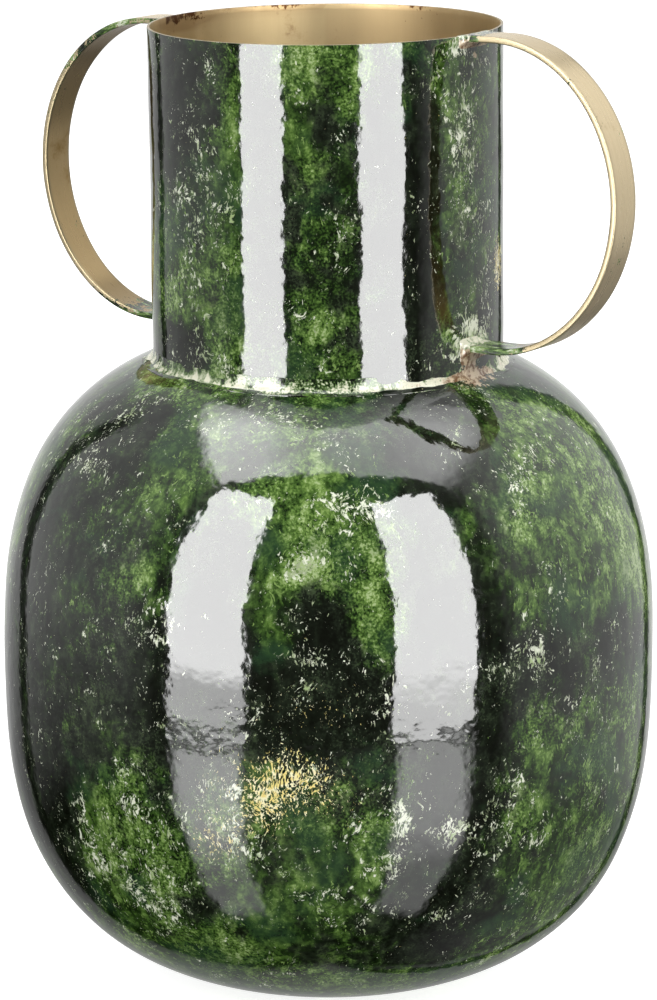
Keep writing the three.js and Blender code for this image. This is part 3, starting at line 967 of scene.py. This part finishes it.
def handle_bead(name, side, level, ground, node):
    """Lumpy bead round one end of a strip. The upper ones are ground level with the strip's top."""
    sizes = np.array((STRIP_WIDTH, STRIP_THICKNESS))
    before = sizes + 2 * BEAD_LEG
    piece = add_plane(name, (side * (NECK_RADIUS - BEAD_ROOT), 0, level), (0, side * math.pi / 2, 0),
                      (before[1], before[0]))
    edit_all()
    bpy.ops.mesh.subdivide(number_cuts=3)
    reach = -BEAD_ROOT
    for share in BEAD_STEPS:
        after = sizes + 2 * BEAD_LEG * (1 - math.sqrt(1 - (1 - share) ** 2))
        step = share * BEAD_LEG - reach
        bpy.ops.mesh.extrude_region_move(TRANSFORM_OT_translate={"value": (side * step, 0, 0)})
        bpy.ops.transform.resize(value=(1, after[0] / before[0], after[1] / before[1]),
                                 center_override=(side * (NECK_RADIUS + share * BEAD_LEG), 0, level))
        before = after
        reach = share * BEAD_LEG
    face_outwards()
    shape(piece, "SUBSURF", levels=2, render_levels=2)
    out = np.abs(corners(piece)[:, 0])
    lumps(piece, *HANDLE_BEAD_LUMPS, soft_step(out, NECK_RADIUS - SHEET / 2, NECK_RADIUS + BEAD_LEG / 3))
    across = corners(piece)[:, 1]
    fall = NECK_RADIUS - np.sqrt(NECK_RADIUS ** 2 - across ** 2)
    shape(piece, "DISPLACE", direction="X", strength=-side * float(fall.max()), mid_level=0.0,
          vertex_group=weigh(piece, "round_neck", fall / fall.max()))
    if ground:
        edit_all()
        top = STRAP_HIGH.z - SHEET / 20
        bpy.ops.mesh.bisect(plane_co=(0, 0, top), plane_no=(0, 0, 1), use_fill=True, clear_outer=True)
        face_outwards()
    else:
        place = corners(piece)
        under = soft_step(level - place[:, 2], STRIP_THICKNESS / 2, STRIP_THICKNESS / 2 + BEAD_LEG)
        nearer = 1 - 0.6 * soft_step(place[:, 1], -STRIP_WIDTH / 2, STRIP_WIDTH / 4)
        shape(piece, "DISPLACE", direction="Z", strength=-BEAD_RUN, mid_level=0.0,
              vertex_group=weigh(piece, "run_down", under * nearer))
    piece.data.materials.append(BEAD)
    above = soft_step(corners(piece)[:, 2], level - STRIP_THICKNESS, level + STRIP_THICKNESS)
    # Paler above the strip and darker below it: partly the enamel, partly painted highlight on top and
    # painted shade beneath
    store(piece, "crest", 0.35 + 0.6 * above)
    store(piece, "tan", (1 - above) * (side > 0))
    smooth(piece, BEAD_SMOOTH)
    lean(piece, HANDLE_LIFT[side])
    dress(piece, "weld_enamel", node)


# Studio

# Two strip lights beside the camera. Heights give where each stretch starts and where it is full.
STRIP_LIGHT_RADIUS = 1.05
STRIP_LIGHT_WIDTH = 0.52
STRIP_LIGHT_TOP = 1.43
STRIP_LIGHT_FOOT = -1.8
STRIP_LIGHT_POWER = 13.2
FOOT_STRETCH = (-0.17, -0.155)
FULL_STRETCH = (-0.09, -0.01)
MIRRORED_STRETCH = (-0.172, -0.187)
MIRRORED_NEAR = (-0.8, -0.25)
MIRRORED_FAR = (-1.75, -1.3)
MIRRORED_SIDE = 0.09

# Overhead light, with its edges measured to the right and to the front
OVERHEAD_HEIGHT = 1.72
OVERHEAD_POWER = 3.3
OVERHEAD_SIZE = (2.8, 2.2)
LEFT_END = (-1.02, -0.86)
RIGHT_END = (1.35, 0.85)
BACK_EDGE = (-0.45, -0.25)
FRONT_EDGE = (0.7, 0.62)

# Soft lights: name, angle from the front, height, distance, size and power
FILL_LIGHTS = (
    ("left_fill", -45, 1.2, 1.8, 1.2, 27.0),
    ("right_fill", 45, 1.2, 1.8, 1.2, 27.0),
    ("table_fill", 0, -0.7, 0.6, 1.0, 5.0),
    ("back_fill", 180, 1.4, 2.0, 1.6, 30.0),
)

# Brightness of the room all round, by the angle from the front, and of its other sides
ROOM_LEVELS = (
    (-180, 0.5), (-160, 0.42), (-150, 0.34), (-142, 0.28), (-140.5, 0.02), (-134, 0.02), (-132.5, 0.4),
    (-75, 0.36), (-62, 0.03), (60, 0.02), (70, 0.3), (95, 0.4), (125, 0.46), (148, 0.42), (149.5, 0.03),
    (156, 0.03), (157.5, 0.42), (180, 0.5),
)
ROOM_POWER = 2.0
ROOM_TILT = 0.09
ROOM_FOOT = (-0.52, -0.15)
LOW_BACK_LEVEL = 0.42
LOW_RIGHT_LEVEL = 0.33
TABLE_LEVEL = 0.06
CEILING_LEVEL = 0.36


def hide_from(thing, *rays):
    """Leaves a thing out of what the named kinds of ray see."""
    for ray in rays:
        setattr(thing, "visible_" + ray, False)


def pale_floor():
    """Large pale floor, lit from below as well. It stays out of the mirror-like enamel."""
    floor = add_plane("floor", (0, 0, 0), size=(30, 30))
    material = bpy.data.materials.new("floor_pale")
    material.use_nodes = True
    tree = material.node_tree
    give(tree, tree.nodes["Principled BSDF"].inputs, {
        "Base Color": (0.5, 0.5, 0.5, 1.0),
        "Roughness": 0.8,
        "Specular IOR Level": 0.0,
        "Emission Color": (1.0, 1.0, 1.0, 1.0),
        "Emission Strength": 0.85,
    })
    floor.data.materials.append(material)
    hide_from(floor, "glossy", "diffuse", "shadow")


def glow_card(card, strength_of):
    """Gives a card its own light, by the place to the right, front and up. Only reflections show it."""
    material = bpy.data.materials.new(card.name + "_glow")
    tree = empty_tree(material)
    place = add_node(tree, "ShaderNodeTexCoord").outputs["Object"]

    def along(axis):
        dot = add_node(tree, "ShaderNodeVectorMath", {0: place, 1: axis}, operation="DOT_PRODUCT")
        return dot.outputs["Value"]

    strength = strength_of(tree, along(RIGHT), along(FRONT), along((0, 0, 1)))
    glow = add_node(tree, "ShaderNodeEmission", {"Color": (1, 1, 1, 1), "Strength": strength})
    clear = add_node(tree, "ShaderNodeBsdfTransparent")
    both = add_node(tree, "ShaderNodeAddShader", {0: clear.outputs[0], 1: glow.outputs[0]})
    add_node(tree, "ShaderNodeOutputMaterial", {"Surface": both.outputs[0]})
    card.data.materials.append(material)
    hide_from(card, "camera", "diffuse", "transmission", "shadow")


def strip_light(name, angle, foot_share, mirror_share):
    """Tall soft light beside the camera, dimmer at its foot. Below a gap, the table mirrors it faintly."""
    turn = math.radians(angle)
    facing = VIEW_ANGLE + turn
    place = (STRIP_LIGHT_RADIUS * math.sin(facing), -STRIP_LIGHT_RADIUS * math.cos(facing))
    card = add_plane(name, (*place, (STRIP_LIGHT_TOP + STRIP_LIGHT_FOOT) / 2), (math.pi / 2, 0, facing),
                     (STRIP_LIGHT_WIDTH, STRIP_LIGHT_TOP - STRIP_LIGHT_FOOT))
    edge = STRIP_LIGHT_WIDTH / 2

    def strength(tree, right, front, height):
        foot = times(tree, between(tree, height, *FOOT_STRETCH), foot_share)
        full = times(tree, between(tree, height, *FULL_STRETCH), 1 - foot_share)
        fade = weighted(tree, (between(tree, height, *MIRRORED_NEAR), 0.2 * mirror_share),
                        (between(tree, height, *MIRRORED_FAR), 0.12))
        across = weighted(tree, (right, math.cos(turn)), (front, -math.sin(turn)))
        sides = between(tree, sums(tree, "ABSOLUTE", across), edge, edge - MIRRORED_SIDE)
        mirrored = times(tree, between(tree, height, *MIRRORED_STRETCH), fade, sides)
        return weighted(tree, *[(part, STRIP_LIGHT_POWER) for part in (foot, full, mirrored)])

    glow_card(card, strength)


def overhead_light():
    """Broad soft light above, brighter on its left, with wings to the back: a veil over the shoulder."""
    middle = RIGHT * 0.05 - FRONT * 0.3 + Vector((0, 0, OVERHEAD_HEIGHT))
    card = add_plane("overhead_light", middle, (0, 0, VIEW_ANGLE), OVERHEAD_SIZE)

    def strength(tree, right, front, height):
        slanted = sums(tree, "MULTIPLY_ADD", front, 0.25, right)
        winged = sums(tree, "MULTIPLY_ADD", sums(tree, "ABSOLUTE", right), 0.75, front)
        edges = ((slanted, LEFT_END), (right, RIGHT_END), (winged, BACK_EDGE), (front, FRONT_EDGE))
        shown = times(tree, *[between(tree, way, *ends) for way, ends in edges])
        power = weighted(tree, (between(tree, right, -0.1, -0.6), 1.2 * OVERHEAD_POWER),
                         (between(tree, right, 0.3, 0.7), 0.2 * OVERHEAD_POWER), (OVERHEAD_POWER, 1.0))
        dimmed = weighted(tree, (between(tree, front, -0.75, -0.2), 0.58), (0.42, 1.0))
        return times(tree, shown, power, dimmed)

    glow_card(card, strength)


def fill_light(name, angle, height, distance, size, power):
    """Soft light that only the paint's own colour takes, and not its gloss."""
    facing = VIEW_ANGLE + math.radians(angle)
    light = bpy.data.lights.new(name, "AREA")
    light.size = size
    light.energy = power
    holder = bpy.data.objects.new(name, light)
    holder.location = (distance * math.sin(facing), -distance * math.cos(facing), height)
    aim = Vector((0, 0, RIM_HEIGHT / 2)) - holder.location
    holder.rotation_euler = aim.to_track_quat("-Z", "Y").to_euler()
    hide_from(holder, "glossy", "camera")
    bpy.context.scene.collection.objects.link(holder)


def grey(level):
    return (level, level, level, 1.0)


def studio_world():
    """White room: open sides, a bright back, dark gaps between the screens and a dark front by the camera."""
    world = bpy.data.worlds.new("white_room")
    bpy.context.scene.world = world
    tree = empty_tree(world)
    direction = add_node(tree, "ShaderNodeTexCoord").outputs["Generated"]
    turned = add_node(tree, "ShaderNodeVectorRotate", {"Vector": direction, "Angle": -VIEW_ANGLE},
                      rotation_type="Z_AXIS").outputs["Vector"]
    right, back, up = add_node(tree, "ShaderNodeSeparateXYZ", {"Vector": turned}).outputs

    # Round the sides
    angle = sums(tree, "ARCTAN2", right, times(tree, back, -1.0))
    share = sums(tree, "MULTIPLY_ADD", angle, 0.5 / math.pi, 0.5)
    stops = [((degrees + 180) / 360, grey(level)) for degrees, level in ROOM_LEVELS]
    round_room = colour_steps(tree, share, *stops)

    # Fading down to the table, less so at the back and on the right
    behind = sums(tree, "SUBTRACT", back, sums(tree, "ABSOLUTE", right))
    low_back = times(tree, between(tree, behind, 0.0, 0.2), LOW_BACK_LEVEL)
    low_right = times(tree, between(tree, right, 0.15, 0.5), LOW_RIGHT_LEVEL)
    low = sums(tree, "MAXIMUM", low_back, low_right)
    tilted = weighted(tree, (right, ROOM_TILT), (up, 1.0))
    shown = sums(tree, "MAXIMUM", between(tree, tilted, *ROOM_FOOT), low)

    # Brighter towards the top on the right
    lift = weighted(tree, (between(tree, up, -0.25, 0.45), 0.5), (-0.1, 1.0))
    shown = times(tree, shown, sums(tree, "MULTIPLY_ADD", between(tree, right, 0.2, 0.6), lift, 1.0))

    # Table and ceiling
    table = times(tree, between(tree, up, -0.29, -0.32), between(tree, back, -0.3, -0.8), TABLE_LEVEL)
    ceiling = times(tree, between(tree, up, 0.5, 0.65), between(tree, back, -0.5, 0.0), CEILING_LEVEL)
    room = sums(tree, "MAXIMUM", sums(tree, "MULTIPLY_ADD", round_room, shown, table), ceiling)

    # The camera itself sees plain white
    seen = add_node(tree, "ShaderNodeLightPath").outputs["Is Camera Ray"]
    glow, white = [add_node(tree, "ShaderNodeBackground", {"Color": grey(1.0), "Strength": power}).outputs[0]
                   for power in (times(tree, room, ROOM_POWER), 1.0)]
    both = add_node(tree, "ShaderNodeMixShader", {0: seen, 1: glow, 2: white})
    add_node(tree, "ShaderNodeOutputWorld", {"Surface": both.outputs[0]})


def camera():
    """Camera at the photograph's viewing angle."""
    data = bpy.data.cameras.new("photo_camera")
    data.lens = LENS
    data.sensor_width = SENSOR
    holder = bpy.data.objects.new("photo_camera", data)
    holder.location = FRONT * VIEW_DISTANCE + Vector((0, 0, VIEW_HEIGHT))
    holder.rotation_euler = (math.pi / 2 - VIEW_PITCH, 0.0, VIEW_ANGLE)
    bpy.context.scene.collection.objects.link(holder)
    bpy.context.scene.camera = holder


def studio():
    camera()
    pale_floor()
    strip_light("left_strip_light", -41, 0.5, 1.35)
    strip_light("right_strip_light", 35, 0.74, 1.0)
    overhead_light()
    for fill in FILL_LIGHTS:
        fill_light(*fill)
    studio_world()
    bpy.context.scene.view_settings.view_transform = "Standard"


studio()
lower_bowl()
upper_shoulder()
belly_seam()
neck_tube()
neck_bead()
for hand, side in (("right", 1), ("left", -1)):
    strap_handle(hand + "_strap", side, hand + "_handle")
    handle_bead(hand + "_upper_bead", side, STRIP_TOP, True, hand + "_handle_upper_weld")
    handle_bead(hand + "_lower_bead", side, STRIP_FOOT, False, hand + "_handle_lower_weld")
